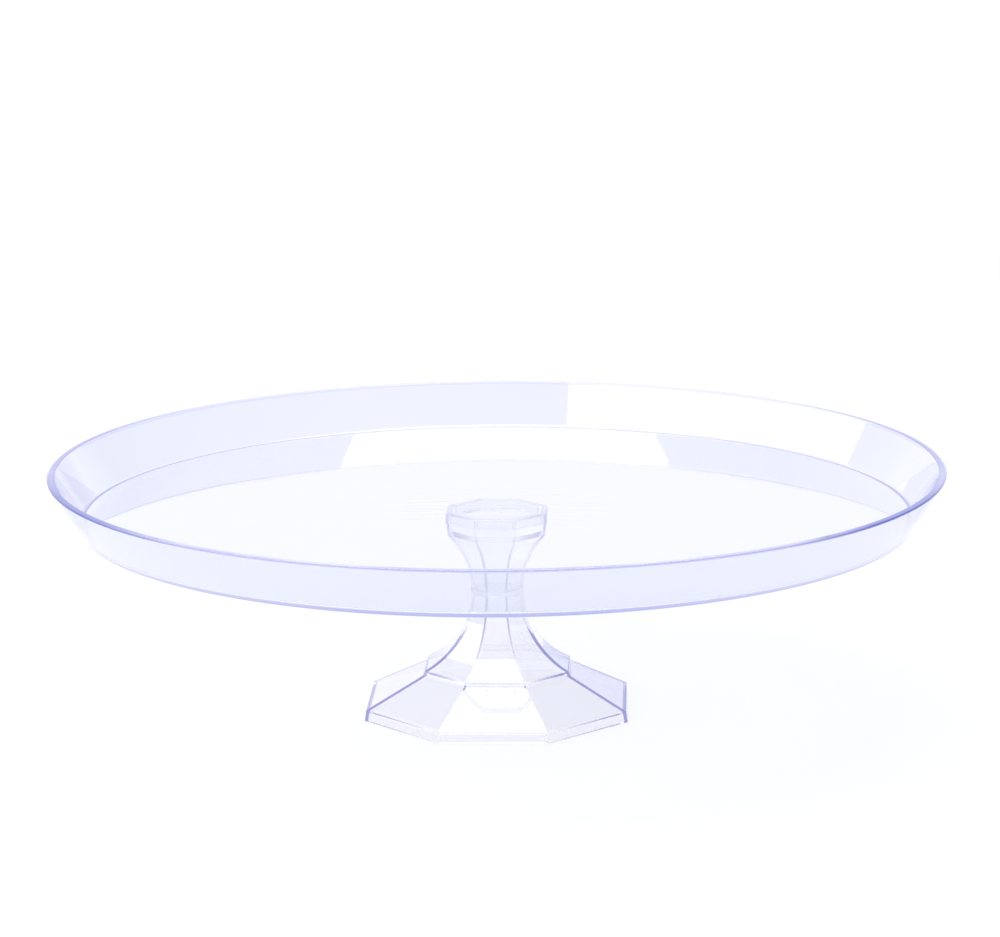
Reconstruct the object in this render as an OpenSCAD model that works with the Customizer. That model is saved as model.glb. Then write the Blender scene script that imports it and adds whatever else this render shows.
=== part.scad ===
// Two-piece cake stand in clear moulded plastic: a shallow round plate with a slanting wall,
// which sits on a hollow eight-sided pedestal. Millimetres, +Z up. The origin is on the table,
// under the middle of the stand.

/* [Stand] */
// Height from the table to the top of the plate's rim
stand_h = 98.6; // [90:0.1:125]
// Thickness of the moulded walls of the pedestal
wall = 2; // [1.5:0.1:2.5]

/* [Plate] */
// Diameter over the plate's rim
rim_d = 349.2; // [300:0.1:360]
// Diameter of the plate's flat underside
under_d = 325.8; // [270:0.1:332]
// Depth of the plate, from the top of the rim to the underside
plate_h = 19.7; // [15:0.1:25]
// Thickness of the plate's floor
floor_t = 1.8; // [1.4:0.1:3]
// Thickness of the plate's slanting wall
side_t = 2.2; // [1.6:0.1:3]
// Height of the bead around the rim
bead_h = 0.9; // [0.6:0.1:2]
// How far the bead stands out from the wall
bead_out = 0.8; // [0.4:0.1:2]

/* [Foot] */
// Width of the foot across its flats, at the table
foot_w = 102.8; // [90:0.1:120]
// Height of the foot's upright edge
edge_h = 4.4; // [3:0.1:8]
// Draft of the upright faces, the amount that each face leans in over its height
edge_draft = 0.6; // [0:0.1:1]
// Width across the flats of the step at the top of the foot's slopes
step_w = 58.2; // [46:0.1:66]
// Height at which the slopes meet the step
step_z = 16; // [13:0.1:20]
// Height of the step's upright face
step_h = 1.9; // [1:0.1:3]

/* [Column] */
// Width across the flats of the column at its waist
waist_w = 20.4; // [17:0.1:24]
// Height of the waist
waist_z = 47.5; // [46:0.1:50]
// Radius of the hollow curve that the column's faces follow
flare_r = 33.4; // [33:0.1:38]
// Thickness of the web that closes the column at its waist
web_t = 1.8; // [1.2:0.1:3]

/* [Head] */
// Height of the head's upright band, its collar included
head_h = 8.8; // [7:0.1:10]
// Width of the head across its flats, at the collar
head_w = 39.6; // [39:0.1:42]
// Height of the collar around the head's mouth
collar_h = 3.8; // [2.5:0.1:5]
// How far the collar stands out from the band
collar_out = 0.4; // [0.2:0.1:0.6]

/* [Spigot] */
// Depth of the eight-sided ring under the plate, which locates it in the head
spigot_h = 4; // [2.5:0.1:5]
// Thickness of that ring
spigot_t = 1.5; // [1:0.1:2]
// Clearance on each side between the ring and the head
spigot_gap = 0.2; // [0.1:0.05:0.4]

/* [Gate marks] */
// Diameter of the round mark that each moulding keeps where it was filled
gate_d = 4; // [2:0.5:6]
// Height of that mark
gate_h = 0.4; // [0.2:0.1:0.8]

/* [Hidden] */
$fn = 180;
SIDES = 8;
ARC_STEPS = 6;
CURVE_STEPS = 24;
EPS = 1;
plastic = [0.86, 0.87, 0.98, 0.45];

// Heights and half widths, worked out from the driving dimensions
under_z = stand_h - plate_h;
rim_r = rim_d / 2;
under_r = under_d / 2;
bead_z = stand_h - bead_h;
side_r = rim_r - bead_out;
side_slope = (side_r - under_r) / (bead_z - under_z);
side_across = side_t * sqrt(1 + side_slope * side_slope);
head_z = under_z - head_h;
flare_z = step_z + step_h;
flare_x = waist_w / 2 + flare_r;
web_top = waist_z + web_t / 2;
web_under = waist_z - web_t / 2;
socket_w = head_w - 2 * wall;
foot_slope = (step_z - edge_h) / ((foot_w - step_w) / 2 - edge_draft);
slope_drop = wall * sqrt(1 + foot_slope * foot_slope);

// Half width of a face that follows the column's curve, for a radius r and a height z
function curve_x(r, z) = flare_x - sqrt(r * r - (z - waist_z) * (z - waist_z));

// How far above or below the waist that face has the half width x
function curve_rise(r, x) = sqrt(r * r - (flare_x - x) * (flare_x - x));

function unit(v) = v / norm(v);

// The arc of radius r that touches both sides of the corner b, which lies between a and c
function corner_arc(a, b, c, r) =
    let (u = unit(a - b), v = unit(c - b))
    let (half = acos(u * v) / 2)
    let (hub = b + unit(u + v) * r / sin(half))
    let (start = b + u * r / tan(half) - hub)
    let (turn = (u.x * v.y - u.y * v.x > 0 ? -1 : 1) * (180 - 2 * half))
    [for (i = [0 : ARC_STEPS])
        let (t = turn * i / ARC_STEPS)
        hub + [start.x * cos(t) - start.y * sin(t), start.x * sin(t) + start.y * cos(t)]];

// An outline of [x, y, radius] corners, each one rounded to its radius, or sharp where it is 0
function rounded(corners) =
    let (n = len(corners))
    [for (i = [0 : n - 1])
        let (b = corners[i], a = corners[(i + n - 1) % n], c = corners[(i + 1) % n])
        each b.z > 0 ? corner_arc([a.x, a.y], [b.x, b.y], [c.x, c.y], b.z) : [[b.x, b.y]]];

// Points along the column's curve of radius r, from the height low to the height high
function curve(r, low, high) =
    [for (i = [0 : CURVE_STEPS])
        let (z = low + (high - low) * i / CURVE_STEPS)
        [curve_x(r, z), z]];

// The eight-sided solid whose half width across the flats follows the outline, from its first
// height to its last
module eight_sided(outline) {
    axis_top = [0, outline[len(outline) - 1].y];
    axis_bottom = [0, outline[0].y];
    rotate(180 / SIDES)
        rotate_extrude($fn = SIDES)
            scale([1 / cos(180 / SIDES), 1])
                polygon(concat([axis_bottom], outline, [axis_top]));
}

module pedestal_outside() {
    eight_sided(concat(
        [
            [foot_w / 2, 0],
            [foot_w / 2 - edge_draft, edge_h],
            [step_w / 2, step_z]
        ],
        curve(flare_r, flare_z, head_z),
        [
            [head_w / 2 - collar_out, under_z - collar_h],
            [head_w / 2, under_z - collar_h],
            [head_w / 2, under_z]
        ]
    ));
}

// The hollow under the foot and up the column, to the underside of the web
module foot_hollow() {
    inner_step = step_w / 2 - wall;
    eight_sided(concat(
        [
            [foot_w / 2 - wall, -EPS],
            [foot_w / 2 - wall, 0],
            [foot_w / 2 - edge_draft - wall, edge_h + wall * foot_slope - slope_drop],
            [inner_step, step_z + wall * foot_slope - slope_drop]
        ],
        curve(flare_r + wall, waist_z - curve_rise(flare_r + wall, inner_step), web_under)
    ));
}

// The hollow in the top of the column, from the web up to the head's mouth
module head_cup() {
    eight_sided(concat(
        curve(flare_r + wall, web_top, head_z),
        [
            [socket_w / 2, head_z + wall],
            [socket_w / 2, under_z + EPS]
        ]
    ));
}

module gate_mark() {
    cylinder(d = gate_d, h = gate_h);
}

module pedestal() {
    color(plastic) {
        difference() {
            pedestal_outside();
            foot_hollow();
            head_cup();
        }
        translate([0, 0, web_top])
            gate_mark();
    }
}

// The plate's section: the floor, the slanting wall and the bead around the rim
module plate_section() {
    inner_r = side_r + side_slope * bead_h - side_across;
    polygon(rounded([
        [0, under_z, 0],
        [under_r, under_z, 0.3],
        [side_r, bead_z, 0],
        [rim_r, bead_z, 0.35],
        [rim_r, stand_h, 0.45],
        [inner_r, stand_h, 0.6],
        [inner_r - side_slope * (plate_h - floor_t), under_z + floor_t, 1.5],
        [0, under_z + floor_t, 0]
    ]));
}

// The ring under the plate's floor that drops into the head
module spigot() {
    outer_w = socket_w - 2 * spigot_gap;
    translate([0, 0, under_z - spigot_h])
        difference() {
            rotate(180 / SIDES)
                cylinder(d = outer_w / cos(180 / SIDES), h = spigot_h, $fn = SIDES);
            translate([0, 0, -EPS])
                rotate(180 / SIDES)
                    cylinder(d = (outer_w - 2 * spigot_t) / cos(180 / SIDES), h = spigot_h + EPS, $fn = SIDES);
        }
}

module plate() {
    color(plastic) {
        rotate_extrude()
            plate_section();
        spigot();
        translate([0, 0, under_z - gate_h])
            gate_mark();
    }
}

plate();
pedestal();
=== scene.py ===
"""A clear plastic cake stand: a shallow round plate that lifts off a hollow eight-sided pedestal."""
import math

import bpy
import numpy as np
from mathutils import Matrix, Vector


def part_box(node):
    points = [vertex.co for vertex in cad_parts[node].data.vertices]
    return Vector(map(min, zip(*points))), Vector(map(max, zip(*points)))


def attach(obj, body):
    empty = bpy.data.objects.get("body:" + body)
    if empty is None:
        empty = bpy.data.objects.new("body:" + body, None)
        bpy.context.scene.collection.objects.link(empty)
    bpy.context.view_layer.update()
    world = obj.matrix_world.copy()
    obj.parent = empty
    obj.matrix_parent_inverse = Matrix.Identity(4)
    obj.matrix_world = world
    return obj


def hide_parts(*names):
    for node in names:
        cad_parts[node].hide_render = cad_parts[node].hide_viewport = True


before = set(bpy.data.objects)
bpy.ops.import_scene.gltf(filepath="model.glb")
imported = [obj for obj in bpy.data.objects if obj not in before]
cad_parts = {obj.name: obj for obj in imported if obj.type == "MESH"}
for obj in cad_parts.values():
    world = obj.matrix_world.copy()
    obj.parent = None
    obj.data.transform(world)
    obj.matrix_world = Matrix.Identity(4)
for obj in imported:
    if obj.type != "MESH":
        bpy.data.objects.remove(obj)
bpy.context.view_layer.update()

# ---------------------------------------------------------------- sizes, in millimetres

MM = 0.001
plate_low, plate_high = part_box("plate")
pedestal_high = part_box("pedestal")[1]
STAND_H = plate_high.z / MM
RIM_R = plate_high.x / MM
UNDER_Z = pedestal_high.z / MM
FOOT_HALF = pedestal_high.x / MM
SPIGOT_H = UNDER_Z - plate_low.z / MM

# plate
UNDER_R = 162.9
FLOOR_T = 1.8
SIDE_T = 2.2
BEAD_H = 0.9
BEAD_OUT = 0.8
FLOOR_Z = UNDER_Z + FLOOR_T
SIDE_R = RIM_R - BEAD_OUT
SLOPE = (SIDE_R - UNDER_R) / (STAND_H - BEAD_H - UNDER_Z)
INNER_R = SIDE_R + SLOPE * BEAD_H - SIDE_T * math.hypot(1, SLOPE)
SPIGOT_T = 1.5
SPIGOT_GAP = 0.2   # between the ring under the floor and the head's socket
SPIGOT_FADE = 6    # how far outside that ring the underside is still a true round

# pedestal
WALL = 2.0
EDGE_H = 4.4
EDGE_DRAFT = 0.6
STEP_HALF = 29.1
STEP_Z = 16.0
STEP_H = 1.9
FLARE_R = 33.4
WAIST_HALF = 10.2
WAIST_Z = 47.5
WEB_T = 1.8
HEAD_H = 8.8
HEAD_HALF = 19.8
COLLAR_H = 3.8
COLLAR_OUT = 0.4
SOCKET_HALF = HEAD_HALF - WALL
FLARE_X = WAIST_HALF + FLARE_R
FLARE_Z = STEP_Z + STEP_H
HEAD_Z = UNDER_Z - HEAD_H
AIR_GAP = 0.04     # between the plate's underside and the head that it rests on

# both
GATE_R = 2.0
GATE_H = 0.4
SIDES = 8
SIDE_TURN = math.radians(360 / SIDES)
ROUND, EIGHT = 0.0, 1.0   # the two forms that a ring can have

# how the skins are divided
ARC_STEPS = 4       # along a rounded corner of an outline, and around a rounded ridge
RIDGE_R = 0.08      # rounding of the eight ridges
MOST_RIDGE = 1 / 3  # and the most of a ring's half width that it may be
FLARE_STEP = 1.3    # height between the rings of the column's curve
HOLD = 0.25         # how far from a rounding the row lies that keeps a flat face flat
LEAST_HOLD = 0.02   # and the shortest such distance worth a row
MOST_REACH = 0.48   # the most of a side that the rounding at one of its ends may take
FLAT_HOLD = 0.94    # the same kind of row along one of the eight sides, as a share of its half
FLAT_RUN = 0.85     # and where the evenly spaced points between those rows end


# ---------------------------------------------------------------- shapes

def rounded(corners):
    """An outline of (half width, height, radius, form) corners, with each corner that has a radius
    turned into an arc tangent to both of its sides. A holding point lies a little way along each
    side, so that a flat face stays flat in its shading. Returns one row per point:
    half width, height, form."""
    rows = []
    for i, (x, z, radius, form) in enumerate(corners):
        here = np.array([x, z])
        if radius == 0:
            rows.append([[x, z]])
        else:
            u = np.array(corners[i - 1][:2]) - here
            v = np.array(corners[i + 1][:2]) - here
            reach = MOST_REACH * min(np.hypot(*u), np.hypot(*v))
            u, v = u / np.hypot(*u), v / np.hypot(*v)
            half = math.acos(np.clip(u @ v, -1, 1)) / 2
            radius = min(radius, reach * math.tan(half))
            back = radius / math.tan(half)
            hub = here + (u + v) / np.hypot(*(u + v)) * radius / math.sin(half)
            turn = math.copysign(math.pi - 2 * half, u[1] * v[0] - u[0] * v[1])
            t = np.linspace(0, turn, ARC_STEPS + 1)[:, None]
            arm = here + u * back - hub
            arc = hub + arm * np.cos(t) + np.array([-arm[1], arm[0]]) * np.sin(t)
            spare = min(HOLD, reach - back)
            before = [here + u * (back + spare)]
            after = [here + v * (back + spare)]
            rows.append(np.concatenate([before, arc, after]) if spare > LEAST_HOLD else arc)
        rows[-1] = np.column_stack([rows[-1], np.full(len(rows[-1]), form)])
    return np.concatenate(rows)


def flare(radius, start, end):
    """Corners along the column's hollow curve, a circle of the radius about the point FLARE_X out
    and WAIST_Z up, from the height start to the height end: the half width at a height is FLARE_X
    less the root of the radius squared less the height above WAIST_Z squared."""
    z = np.linspace(start, end, max(2, round(abs(end - start) / FLARE_STEP)) + 1)
    x = FLARE_X - np.sqrt(radius ** 2 - (z - WAIST_Z) ** 2)
    return [(a, b, 0, EIGHT) for a, b in zip(x, z)]


def softened(corner, radius):
    """The same corner with a rounding of the radius."""
    return (*corner[:2], radius, corner[3])


def turned(name, outline, flat_steps):
    """A closed skin from an outline turned about +Z. At the form ROUND a ring is a circle of its
    half width. At EIGHT it is a regular octagon with that half width across its flats, whose
    ridges are arcs of radius RIDGE_R. flat_steps is the number of spans along each flat. Both
    ends of the outline lie on the axis."""
    half, z, form = outline.T
    # around one side: a run along the flat, then the arc to the next side
    hold = np.array([-1, -FLAT_HOLD])
    run = np.concatenate([hold, np.linspace(-FLAT_RUN, FLAT_RUN, flat_steps - 3), -hold[::-1]])
    bend = np.linspace(0, SIDE_TURN, ARC_STEPS + 1)[1:-1]
    along = np.tile(np.concatenate([run, np.ones(len(bend))]), SIDES)
    swing = np.tile(np.concatenate([np.zeros(len(run)), bend]), SIDES)
    per_side = len(run) + len(bend)
    side = np.repeat(np.arange(SIDES) * SIDE_TURN, per_side)
    around = (np.arange(SIDES * per_side) / per_side - 0.5) * SIDE_TURN
    inner = slice(1, -1)
    half, ring_z, form = (v[inner, None] for v in (half, z, form))
    ridge = np.minimum(RIDGE_R, MOST_RIDGE * half)
    reach = (half - ridge) * math.tan(SIDE_TURN / 2)
    out = half - ridge + ridge * np.cos(swing)
    across = reach * along + ridge * np.sin(swing)
    eight_x = out * np.cos(side) - across * np.sin(side)
    eight_y = out * np.sin(side) + across * np.cos(side)
    x = form * eight_x + (1 - form) * half * np.cos(around)
    y = form * eight_y + (1 - form) * half * np.sin(around)
    grid = np.stack([x, y, np.broadcast_to(ring_z, x.shape)], axis=-1)
    rings, count = x.shape
    points = np.concatenate([grid.reshape(-1, 3), [[0, 0, z[0]], [0, 0, z[-1]]]]) * MM
    index = np.arange(rings * count).reshape(rings, count)
    onward = np.roll(index, -1, axis=1)
    quads = np.stack([index[:-1], index[1:], onward[1:], onward[:-1]], axis=-1).reshape(-1, 4)
    first, last = rings * count, rings * count + 1
    start = np.stack([np.full(count, first), index[0], onward[0]], axis=-1)
    finish = np.stack([np.full(count, last), onward[-1], index[-1]], axis=-1)
    mesh = bpy.data.meshes.new(name)
    mesh.from_pydata(points.tolist(), [], quads.tolist() + start.tolist() + finish.tolist())
    mesh.polygons.foreach_set("use_smooth", np.ones(len(mesh.polygons), bool))
    mesh.update()
    piece = bpy.data.objects.new(name, mesh)
    bpy.context.scene.collection.objects.link(piece)
    return piece


def plate_outline():
    """From the middle of the floor out to the rim, back under it, around the eight-sided ring
    that locates the plate in the head, and in to the gate mark under the middle."""
    ring_out = SOCKET_HALF - SPIGOT_GAP
    ring_in = ring_out - SPIGOT_T
    ring_z = UNDER_Z - SPIGOT_H
    gate_z = UNDER_Z - GATE_H
    floor_r = INNER_R - SLOPE * (STAND_H - FLOOR_Z)
    return rounded([
        (0, FLOOR_Z, 0, ROUND),
        (floor_r, FLOOR_Z, 1.6, ROUND),
        (INNER_R, STAND_H, 0.6, ROUND),
        (RIM_R, STAND_H, 0.42, ROUND),
        (RIM_R, STAND_H - BEAD_H, 0.4, ROUND),
        (SIDE_R, STAND_H - BEAD_H, 0.25, ROUND),
        (UNDER_R, UNDER_Z, 0.3, ROUND),
        (ring_out + SPIGOT_FADE, UNDER_Z, 0, ROUND),
        (ring_out, UNDER_Z, 0.25, EIGHT),
        (ring_out, ring_z, 0.3, EIGHT),
        (ring_in, ring_z, 0.3, EIGHT),
        (ring_in, UNDER_Z, 0.25, EIGHT),
        (GATE_R, UNDER_Z, 0.1, ROUND),
        (GATE_R, gate_z, 0.1, ROUND),
        (0, gate_z, 0, ROUND),
    ])


def pedestal_outline():
    """From the gate mark on the web up the inside of the head, over its mouth, down the outside
    to the table, and up the hollow inside to the underside of the web."""
    web_top = WAIST_Z + WEB_T / 2
    web_under = WAIST_Z - WEB_T / 2
    top = UNDER_Z - AIR_GAP
    foot_slope = (STEP_Z - EDGE_H) / (FOOT_HALF - EDGE_DRAFT - STEP_HALF)
    drop = WALL * (math.hypot(1, foot_slope) - foot_slope)
    inside = FLARE_R + WALL
    inner_step = STEP_HALF - WALL
    join_z = WAIST_Z - math.sqrt(inside ** 2 - (FLARE_X - inner_step) ** 2)
    cup = flare(inside, web_top, HEAD_Z)
    column = flare(FLARE_R, HEAD_Z, FLARE_Z)
    hollow = flare(inside, join_z, web_under)
    return rounded([
        (0, web_top + GATE_H, 0, ROUND),
        (GATE_R, web_top + GATE_H, 0.1, ROUND),
        (GATE_R, web_top, 0.1, ROUND),
        softened(cup[0], 0.5), *cup[1:],
        (SOCKET_HALF, HEAD_Z + WALL, 0.3, EIGHT),
        (SOCKET_HALF, top, 0.3, EIGHT),
        (HEAD_HALF, top, 0.9, EIGHT),
        (HEAD_HALF, UNDER_Z - COLLAR_H, 0.12, EIGHT),
        (HEAD_HALF - COLLAR_OUT, UNDER_Z - COLLAR_H, 0.12, EIGHT),
        softened(column[0], 0.3), *column[1:-1], softened(column[-1], 0.15),
        (STEP_HALF, STEP_Z, 0.2, EIGHT),
        (FOOT_HALF - EDGE_DRAFT, EDGE_H, 0.2, EIGHT),
        (FOOT_HALF, 0, 0.3, EIGHT),
        (FOOT_HALF - WALL, 0, 0.3, EIGHT),
        (FOOT_HALF - EDGE_DRAFT - WALL, EDGE_H - drop, 0.6, EIGHT),
        (inner_step, STEP_Z - drop, 0.5, EIGHT),
        softened(hollow[0], 0.4), *hollow[1:-1], softened(hollow[-1], 0.6),
        (0, web_under, 0, ROUND),
    ])


# ---------------------------------------------------------------- nodes

class Value:
    """A number or colour that changes over a surface. Sums and products on it add Math nodes."""

    def __init__(self, recipe, socket):
        self.recipe, self.socket = recipe, socket

    def __add__(self, other):
        return self.recipe.maths("ADD", self, other)

    def __radd__(self, other):
        return self.recipe.maths("ADD", other, self)

    def __sub__(self, other):
        return self.recipe.maths("SUBTRACT", self, other)

    def __rsub__(self, other):
        return self.recipe.maths("SUBTRACT", other, self)

    def __mul__(self, other):
        return self.recipe.maths("MULTIPLY", self, other)

    def __rmul__(self, other):
        return self.recipe.maths("MULTIPLY", other, self)


class Recipe:
    """A material or a world, and the nodes that it is made of."""

    def __init__(self, owner):
        owner.use_nodes = True
        self.tree = owner.node_tree
        self.tree.nodes.clear()

    def node(self, kind, settings=None, inputs=None, output=0):
        """Adds a node of the kind, sets its settings, then its inputs, each a number, a colour
        or a Value, and returns one of its outputs, where it has one, as a Value."""
        made = self.tree.nodes.new(kind)
        for name, value in (settings or {}).items():
            setattr(made, name, value)
        for name, value in (inputs or {}).items():
            if isinstance(value, Value):
                self.tree.links.new(value.socket, made.inputs[name])
            else:
                made.inputs[name].default_value = value
        return Value(self, made.outputs[output]) if made.outputs else None

    def maths(self, operation, *numbers):
        """A Math node's result for one or two numbers."""
        return self.node("ShaderNodeMath", {"operation": operation}, dict(enumerate(numbers)))

    def vector_maths(self, operation, *vectors, output=0):
        """A Vector Math node's result for one or two vectors."""
        return self.node("ShaderNodeVectorMath", {"operation": operation},
                         dict(enumerate(vectors)), output)

    def axis(self, vector, name):
        """One of a vector's three numbers."""
        return self.node("ShaderNodeSeparateXYZ", None, {0: vector}, name)

    def mix(self, share, first, second):
        """A colour between two colours: the first where share is 0 and the second where it is 1."""
        return self.node("ShaderNodeMix", {"data_type": "RGBA"}, {0: share, 6: first, 7: second}, 2)

    def ramp(self, value, low, high):
        """0 below low, 1 above high, and straight between them."""
        return self.node("ShaderNodeMapRange", {"clamp": True},
                         {"Value": value, "From Min": low, "From Max": high})

    def noise(self, place, scale, detail, roughness=0.5, distortion=0.0):
        """A cloudy pattern with a middle of about a half."""
        return self.node("ShaderNodeTexNoise", None, {
            "Vector": place, "Scale": scale, "Detail": detail,
            "Roughness": roughness, "Distortion": distortion,
        })

    def path(self, name):
        """How often the light that is being followed was mirrored, scattered or met a surface."""
        return self.node("ShaderNodeLightPath", output=name)


# ---------------------------------------------------------------- plastic

STYRENE_IOR = 1.59
HAZE_TINT = 0.985       # how much haze takes off the colour
POLISH = 0.012          # roughness of the clean surface
HAZE = 0.5, 0.75        # where in its pattern haze begins to roughen, and is full
FAINT_HAZE = 0.3, 0.8   # and the same for its colour
HAIR = 0.72, 0.8        # and the same for a scratch
HAZE_ROUGH = 0.03
SCRATCH_ROUGH = 0.1
SCRATCH_H = 0.02        # against the waves' height
DEEP_TINT = (0.0, 0.06, 0.85, 1)   # what the plastic lets through where it is very deep
TRAPPED_MIRRORS = 2.5   # light mirrored more often than this is going along inside an edge
TRAPPED_BOUNCES = 10.5  # and so is light that has met more surfaces than this
PAINTED_SHADE_ASIDE = 0.55, 0.95                   # painted shade: where the painted edge glow goes from bright to dim, to the left and right
# the bead of the rim: a painted violet standing in for the light seen along inside it, painted shade
# to the left and right of its front, and paler painted ends
RIM_PAINTED_VIOLET = (0.74, 0.74, 0.96, 1)
RIM_PAINTED_END = (0.9, 0.9, 0.98, 1)        # a paler painted colour at the far left and right of the rim
RIM_PAINTED_END_RUN = 0.97, 0.995
RIM_PAINTED_SHADE = (0.08, 0.1, 0.5, 1)       # painted shade in the rim about PAINTED_SHADE_SIDE, and about its mirror image
PAINTED_SHADE_SIDE = (0.88, -0.475, 0)
PAINTED_SHADE_RUN = 0.92, 0.99                # cosines of the angle from it
BEAD_Z = STAND_H - BEAD_H
RIM_RUN = (BEAD_Z - 0.15) * MM, (BEAD_Z + 0.1) * MM
# a paler painted glow at the edges around the plate's floor
PAINTED_FLOOR_GLOW = (0.83, 0.83, 0.97, 1)
FLOOR_RUN = (FLOOR_Z + 3) * MM, (FLOOR_Z + 9) * MM
FLOW_RUN = 24 * MM, 50 * MM              # from the gate, where the flow lines fade
FLOW_H = 0.8                             # against the waves' height


def painted_trapped_glow(recipe, edge):
    """A painted glow, an emission of the colour edge that stands in for light going along inside a
    wall, and how much of it shows: all of it once the light has been mirrored or has met surfaces
    so often that it is going along inside a wall."""
    mirrored = recipe.maths("GREATER_THAN", recipe.path("Glossy Depth"), TRAPPED_MIRRORS)
    bounced = recipe.maths("GREATER_THAN", recipe.path("Ray Depth"), TRAPPED_BOUNCES)
    glow = recipe.node("ShaderNodeEmission", None, {"Color": edge, "Strength": 1.0})
    return glow, recipe.maths("MAXIMUM", mirrored, bounced)


def clear_styrene(name, tint, density, painted_bright_edge, painted_dim_edge, plate=False):
    """Clear moulded polystyrene: glossy, faintly blue-violet, with slow waves from cooling, faint
    handling haze and hairline scratches. tint is the colour of one wall, and density is the tint
    for each metre of depth. Its edges have a painted glow, an emission that stands in for light
    going along inside the walls: the first edge colour where it is bright, the second to the left
    and right, where the glow is painted darker. A plate also has a painted violet in the bead of
    its rim, with painted shade to the left and right of the front, a paler painted glow at the edge
    around its floor, and flow lines on its floor around the gate."""
    material = bpy.data.materials.new(name)
    recipe = Recipe(material)
    place = recipe.node("ShaderNodeTexCoord", output="Object")
    height = recipe.axis(place, "Z")
    level = recipe.vector_maths("MULTIPLY", place, (1, 1, 0))
    bearing = recipe.vector_maths("NORMALIZE", level)
    aside = recipe.maths("ABSOLUTE", recipe.axis(bearing, "X"))

    haze = recipe.noise(place, scale=60, detail=4, roughness=0.6)
    stretch = recipe.node("ShaderNodeMapping", None,
                          {"Vector": place, "Rotation": (0.3, 0.2, 0.7), "Scale": (40, 1400, 900)})
    scratch = recipe.ramp(recipe.noise(stretch, scale=1, detail=1), *HAIR)
    relief = recipe.noise(place, scale=18, detail=2, roughness=0.4) + SCRATCH_H * scratch
    hazy_tint = (*(HAZE_TINT * c for c in tint), 1)
    colour = recipe.mix(recipe.ramp(haze, *FAINT_HAZE), (*tint, 1), hazy_tint)
    # the painted edge glow's colour, with painted shade to the left and right
    edge = recipe.mix(recipe.ramp(aside, *PAINTED_SHADE_ASIDE), (*painted_bright_edge, 1), (*painted_dim_edge, 1))
    if plate:
        # painted colour in the bead of the rim: violet, with painted shade to the left and right of
        # the front and paler painted ends
        folded = recipe.node("ShaderNodeCombineXYZ", None,
                             {"X": aside, "Y": recipe.axis(bearing, "Y")})
        towards = recipe.vector_maths("DOT_PRODUCT", folded, PAINTED_SHADE_SIDE, output="Value")
        rim = recipe.mix(recipe.ramp(aside, *RIM_PAINTED_END_RUN), RIM_PAINTED_VIOLET, RIM_PAINTED_END)
        rim = recipe.mix(recipe.ramp(towards, *PAINTED_SHADE_RUN), rim, RIM_PAINTED_SHADE)
        colour = recipe.mix(recipe.ramp(height, *RIM_RUN), colour, rim)
        # a paler painted glow at the edges around the floor
        edge = recipe.mix(recipe.ramp(height, *FLOOR_RUN), PAINTED_FLOOR_GLOW, edge)
        away = recipe.vector_maths("LENGTH", level, output="Value")
        run = recipe.node("ShaderNodeMapping", None, {"Vector": place, "Scale": (16, 60, 20)})
        streaks = recipe.noise(run, scale=1, detail=1, distortion=2.0)
        relief = relief + FLOW_H * streaks * (1 - recipe.ramp(away, *FLOW_RUN))

    bump = recipe.node("ShaderNodeBump", None,
                       {"Strength": 0.05, "Distance": 0.001, "Height": relief})
    body = recipe.node("ShaderNodeBsdfPrincipled", None, {
        "Base Color": colour,
        "Roughness": POLISH + HAZE_ROUGH * recipe.ramp(haze, *HAZE) + SCRATCH_ROUGH * scratch,
        "IOR": STYRENE_IOR,
        "Transmission Weight": 1.0,
        "Normal": bump,
    })
    # painted glow: an emission that stands in for light going along inside the walls
    glow, share = painted_trapped_glow(recipe, edge)
    surface = recipe.node("ShaderNodeMixShader", None, {0: share, 1: body, 2: glow})
    depth = recipe.node("ShaderNodeVolumeAbsorption", None, {"Color": DEEP_TINT, "Density": density})
    recipe.node("ShaderNodeOutputMaterial", None, {"Surface": surface, "Volume": depth})
    material.cycles.emission_sampling = "NONE"
    return material


# ---------------------------------------------------------------- stage, light and camera

CAMERA_AWAY = 1400 * MM
CAMERA_SIDE = math.radians(2.46)     # round from the foot's front face
CAMERA_UP = math.radians(16.04)
LOOK_UP = math.radians(3.87)         # above the stand's base
LOOK_SIDE = math.radians(0.055)
CAMERA_ROLL = math.radians(-0.39)
SENSOR = 36.0
LENS = 126.8

FLOOR_HALF = 1.25                    # metres
FLOOR_SIDES = 96
FLOOR_DROP = 0.1 * MM                # below the foot
FLOOR_SHADE = 0.15
FLOOR_GLOW = (0.85, 0.855, 0.92)

SKY_LIGHT = (1.01, 1.02, 1.12, 1)    # towards the backdrop
SKY_DARK = (0.44, 0.455, 0.62, 1)    # overhead and behind the camera
SKY_RUN = 0.2, 0.7                   # where it goes from dark to light
SKY_LEAN = 0.6                       # how fast it darkens upwards and to the right
CARD = (0.68, 0.7, 0.97, 1)          # a violet card beside the backdrop, to its right
CARD_LEFT = 0.17, 0.21               # its soft edges
CARD_RIGHT = 0.36, 0.42
CARD_BACK = 0.8, 0.9
FLAG_DEPTH = 0.5                     # how much darker it is to the far left and right
FLAG_RUN = 0.55, 0.9

# where each softbox is, the way it faces, its width, its height and its radiance
OVERHEAD = (-0.023, 0.135, 1.2), (0, 0, -1), 0.96, 1.13, 3.5
LEFT = (-2.515, 0.358, 1.9), (0.866, 0.5, -0.2), 5.62, 2.6, 2.2


def direction(bearing, elevation):
    """The unit vector that is level and away from the camera at 0, 0, turned by the bearing to
    the right and by the elevation upwards."""
    level = math.cos(elevation)
    return Vector((math.sin(bearing) * level, math.cos(bearing) * level, math.sin(elevation)))


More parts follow.
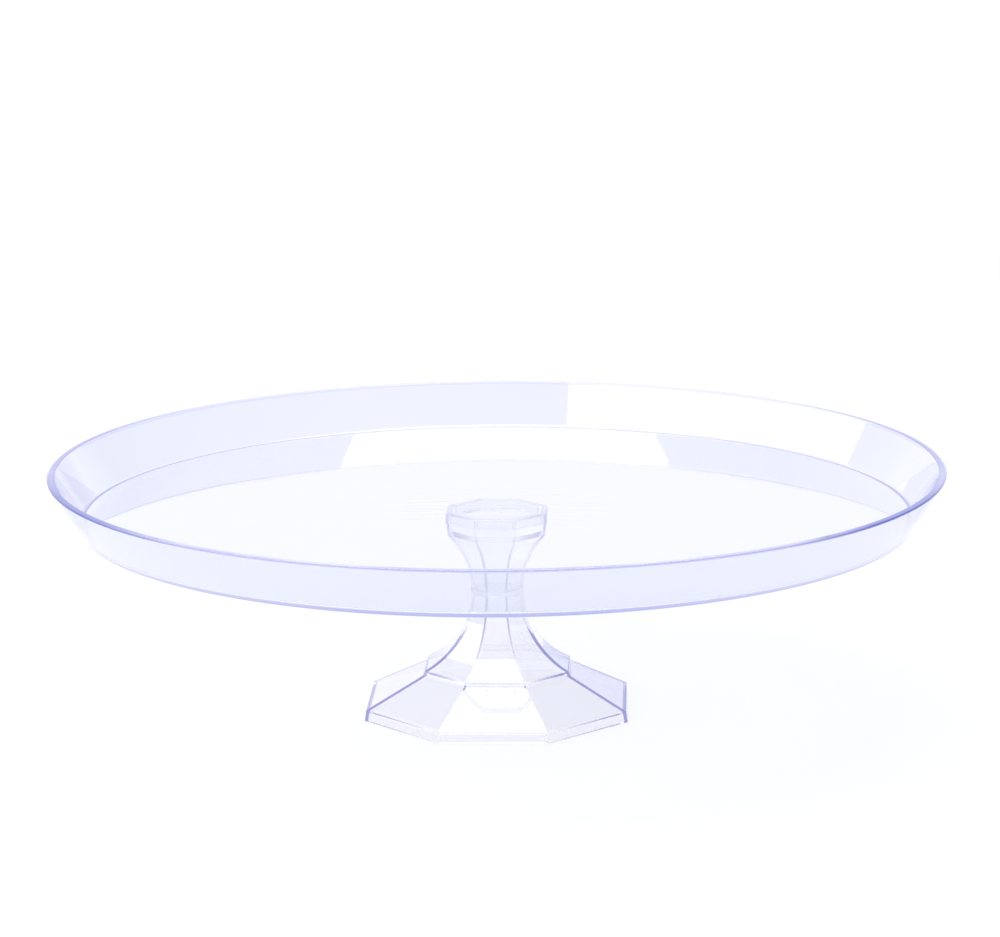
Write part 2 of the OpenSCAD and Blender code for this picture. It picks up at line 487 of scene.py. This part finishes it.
def make_camera():
    """The camera stands CAMERA_AWAY from the stand's base and looks a little above it."""
    data = bpy.data.cameras.new("camera")
    data.sensor_width, data.lens = SENSOR, LENS
    data.clip_start, data.clip_end = 0.05, 60
    camera = bpy.data.objects.new("camera", data)
    bpy.context.scene.collection.objects.link(camera)
    seat = -direction(-CAMERA_SIDE, -CAMERA_UP) * CAMERA_AWAY
    gaze = direction(LOOK_SIDE - CAMERA_SIDE, LOOK_UP - CAMERA_UP)
    aim = gaze.to_track_quat("-Z", "Y").to_matrix().to_4x4()
    roll = Matrix.Rotation(CAMERA_ROLL, 4, "Z")
    camera.matrix_world = Matrix.Translation(seat) @ aim @ roll
    bpy.context.scene.camera = camera


def softbox(name, centre, facing, width, height, radiance):
    """A rectangular light at a centre, turned to face a direction. Both are seen from the camera's
    side: x to its right, y away from it and z up."""
    data = bpy.data.lights.new(name, "AREA")
    data.shape, data.size, data.size_y = "RECTANGLE", width, height
    data.energy = radiance * math.pi * width * height
    light = bpy.data.objects.new(name, data)
    back = -Vector(facing).normalized()
    aim = back.to_track_quat("Z", "Y").to_matrix().to_4x4()
    light.matrix_world = Matrix.Rotation(CAMERA_SIDE, 4, "Z") @ Matrix.Translation(centre) @ aim
    bpy.context.scene.collection.objects.link(light)


def light_table(name, shade, glow):
    """A pale matt sheet lit evenly from below, with a faint grain. shade is what it reflects and
    glow is the light that comes through it."""
    material = bpy.data.materials.new(name)
    recipe = Recipe(material)
    place = recipe.node("ShaderNodeTexCoord", output="Object")
    shader = recipe.node("ShaderNodeBsdfPrincipled", None, {
        "Base Color": (shade, shade, shade, 1),
        "Roughness": 0.9 + 0.05 * recipe.noise(place, scale=90, detail=3),
        "Specular IOR Level": 0.0,
        "Emission Color": (*glow, 1),
        "Emission Strength": 1.0,
    })
    recipe.node("ShaderNodeOutputMaterial", None, {"Surface": shader})
    return material


def make_floor():
    """A round pale floor just under the foot."""
    angle = np.arange(FLOOR_SIDES) * 2 * math.pi / FLOOR_SIDES
    drop = np.full(FLOOR_SIDES, -FLOOR_DROP)
    points = np.stack([FLOOR_HALF * np.cos(angle), FLOOR_HALF * np.sin(angle), drop], axis=-1)
    mesh = bpy.data.meshes.new("floor")
    mesh.from_pydata(points.tolist(), [], [list(range(FLOOR_SIDES))])
    floor = bpy.data.objects.new("floor", mesh)
    floor.data.materials.append(light_table("floor_sheet", FLOOR_SHADE, FLOOR_GLOW))
    bpy.context.scene.collection.objects.link(floor)


def make_surroundings():
    """A pale studio. What the stand mirrors is light towards the backdrop, dark overhead, behind
    the camera and to the far left and right, and violet at a card beside the backdrop. Light that
    was neither mirrored nor scattered finds the backdrop all around."""
    world = bpy.data.worlds.new("surroundings")
    recipe = Recipe(world)
    way = recipe.node("ShaderNodeTexCoord", output="Generated")
    right, away, up = (recipe.axis(way, name) for name in "XYZ")
    backdrop = recipe.ramp(away - SKY_LEAN * up - SKY_LEAN * right, *SKY_RUN)
    across = recipe.ramp(right, *CARD_LEFT) * (1 - recipe.ramp(right, *CARD_RIGHT))
    card = across * recipe.ramp(away, *CARD_BACK)
    flags = recipe.ramp(recipe.maths("ABSOLUTE", right), *FLAG_RUN)
    turns = recipe.path("Glossy Depth") + recipe.path("Diffuse Depth")
    direct = recipe.maths("LESS_THAN", turns, 0.5)
    studio = recipe.mix(card, recipe.mix(backdrop, SKY_DARK, SKY_LIGHT), CARD)
    sky = recipe.node("ShaderNodeBackground", None, {
        "Color": recipe.mix(direct, studio, SKY_LIGHT),
        "Strength": 1 - FLAG_DEPTH * flags * (1 - direct),
    })
    recipe.node("ShaderNodeOutputWorld", None, {"Surface": sky})
    bpy.context.scene.world = world
    bpy.context.scene.view_settings.view_transform = "Standard"


make_camera()
make_floor()
make_surroundings()
softbox("overhead_softbox", *OVERHEAD)
softbox("left_softbox", *LEFT)

# ---------------------------------------------------------------- the stand

plate = turned("plate_skin", plate_outline(), flat_steps=36)
plate.data.materials.append(clear_styrene(
    "plate_styrene", (0.895, 0.91, 0.94), 5, (0.66, 0.66, 0.95), (0.45, 0.46, 0.8), plate=True))
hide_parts("plate")
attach(plate, "plate")

pedestal = turned("pedestal_skin", pedestal_outline(), flat_steps=12)
pedestal.data.materials.append(clear_styrene(
    "pedestal_styrene", (0.985, 0.988, 1.0), 3, (0.97, 0.97, 1.0), (0.35, 0.35, 0.65)))
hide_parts("pedestal")
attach(pedestal, "pedestal")
